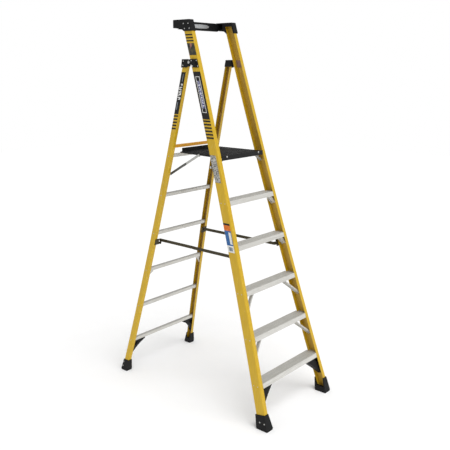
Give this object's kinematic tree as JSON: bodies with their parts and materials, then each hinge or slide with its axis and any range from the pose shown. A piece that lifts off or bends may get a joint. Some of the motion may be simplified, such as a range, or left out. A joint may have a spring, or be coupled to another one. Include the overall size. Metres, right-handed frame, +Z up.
{
  "type": "platform step ladder",
  "caption": "Folding A-frame ladder with flared fibreglass rails, ribbed aluminium treads, a black standing platform and a guard rail above it.",
  "frame": {"origin": "on the floor, in the middle of the four feet", "axes": "+Z up, climbing side faces -Y, +X to the climber's right"},
  "size_m": [0.776, 1.451, 2.667],
  "materials": {
    "fibreglass": "pultruded fibreglass, satin yellow with fine lengthwise streaks",
    "fibreglass_amber": "amber fibreglass tube",
    "aluminium": "mill-finish extruded aluminium, faint die lines",
    "black_moulding": "moulded black nylon with fine texture",
    "platform_black": "black coated ribbed deck",
    "foot_rubber": "black slip-resistant rubber",
    "steel_dark": "dark olive plated steel",
    "steel_grey": "dark grey plated steel",
    "link_light": "light zinc plated steel",
    "zinc": "zinc plated fasteners",
    "badge_metal": "plain brushed plate",
    "backing_brown": "brown primed backing plate",
    "label_dark": "dark printed film, no lettering",
    "label_light": "white printed film, no lettering",
    "label_grey": "grey printed film, no lettering",
    "label_orange": "orange printed film, no lettering",
    "label_blue": "blue printed film, no lettering"
  },
  "bodies": {
    "front_frame": {"front_rail_left": "fibreglass", "front_rail_right": "fibreglass", "step_1": "aluminium", "step_2": "aluminium", "step_3": "aluminium", "step_4": "aluminium", "step_5": "aluminium", "step_braces": "aluminium", "step_gussets": "aluminium", "step_corner_gussets": "black_moulding", "platform_rests": "aluminium", "front_foot_left": "black_moulding", "front_foot_right": "black_moulding", "front_foot_pads": "foot_rubber", "guard_arm_left": "black_moulding", "guard_arm_right": "black_moulding", "guard_bar": "black_moulding", "guard_plate": "badge_metal", "hinge_plate_left": "black_moulding", "hinge_plate_right": "black_moulding", "hinge_pins": "zinc", "hinge_backing_plates": "backing_brown", "platform_pivots": "zinc", "spreader_front_brackets": "steel_dark", "front_frame_rivets": "zinc"},
    "rear_frame": {"rear_rail_left": "fibreglass", "rear_rail_right": "fibreglass", "rung_1": "aluminium", "rung_2": "aluminium", "rung_3": "aluminium", "rung_4": "aluminium", "rung_5": "aluminium", "rung_6": "aluminium", "rear_cross_bar": "fibreglass_amber", "rung_corner_gussets": "black_moulding", "rung_braces": "aluminium", "rear_foot_left": "black_moulding", "rear_foot_right": "black_moulding", "rear_foot_pads": "foot_rubber", "hinge_cap_left": "black_moulding", "hinge_cap_right": "black_moulding", "link_pins": "zinc", "spreader_rear_brackets": "steel_dark", "rear_frame_rivets": "zinc"},
    "platform": {"platform_deck": "platform_black", "platform_apron": "platform_black", "platform_bolts": "zinc", "platform_stiffeners": "aluminium"},
    "link_left": {"link_lower_left": "steel_grey", "link_upper_left": "link_light"},
    "spreader_front_left": {"spreader_front_left": "steel_dark"},
    "spreader_rear_left": {"spreader_rear_left": "steel_dark"},
    "link_right": {"link_lower_right": "steel_grey", "link_upper_right": "link_light"},
    "spreader_front_right": {"spreader_front_right": "steel_dark"},
    "spreader_rear_right": {"spreader_rear_right": "steel_dark"}
  },
  "joints": [
    {"name": "rear_fold", "type": "hinge", "parent": "front_frame", "child": "rear_frame", "pos_m": [0, 0.0815, 2.385], "axis": [-1, 0, 0], "range_deg": [0, 30]},
    {"name": "platform_fold", "type": "hinge", "parent": "front_frame", "child": "platform", "pos_m": [0, -0.15826, 1.745], "axis": [1, 0, 0], "range_deg": [0, 56.71]},
    {"name": "link_fold_left", "type": "hinge", "parent": "rear_frame", "child": "link_left", "pos_m": [-0.221, 0.305, 1.592], "axis": [-1, 0, 0], "range_deg": [0, 40.79]},
    {"name": "spreader_front_fold_left", "type": "hinge", "parent": "front_frame", "child": "spreader_front_left", "pos_m": [-0.238, -0.29973, 1.085], "axis": [1, 0, 0], "range_deg": [0, 73.24]},
    {"name": "spreader_rear_fold_left", "type": "hinge", "parent": "rear_frame", "child": "spreader_rear_left", "pos_m": [-0.2345, 0.40832, 1.085], "axis": [-1, 0, 0], "range_deg": [0, 75.22]},
    {"name": "link_fold_right", "type": "hinge", "parent": "rear_frame", "child": "link_right", "pos_m": [0.221, 0.305, 1.592], "axis": [-1, 0, 0], "range_deg": [0, 40.79]},
    {"name": "spreader_front_fold_right", "type": "hinge", "parent": "front_frame", "child": "spreader_front_right", "pos_m": [0.238, -0.29973, 1.085], "axis": [1, 0, 0], "range_deg": [0, 73.24]},
    {"name": "spreader_rear_fold_right", "type": "hinge", "parent": "rear_frame", "child": "spreader_rear_right", "pos_m": [0.2345, 0.40832, 1.085], "axis": [-1, 0, 0], "range_deg": [0, 75.22]}
  ],
  "couplings": [
    {"joint": "platform_fold", "follows": "rear_fold", "ratio": 1.887},
    {"joint": "link_fold_left", "follows": "rear_fold", "ratio": 1.3563},
    {"joint": "spreader_front_fold_left", "follows": "rear_fold", "ratio": 2.4381},
    {"joint": "spreader_rear_fold_left", "follows": "rear_fold", "ratio": 2.5039},
    {"joint": "link_fold_right", "follows": "rear_fold", "ratio": 1.3563},
    {"joint": "spreader_front_fold_right", "follows": "rear_fold", "ratio": 2.4381},
    {"joint": "spreader_rear_fold_right", "follows": "rear_fold", "ratio": 2.5039}
  ]
}
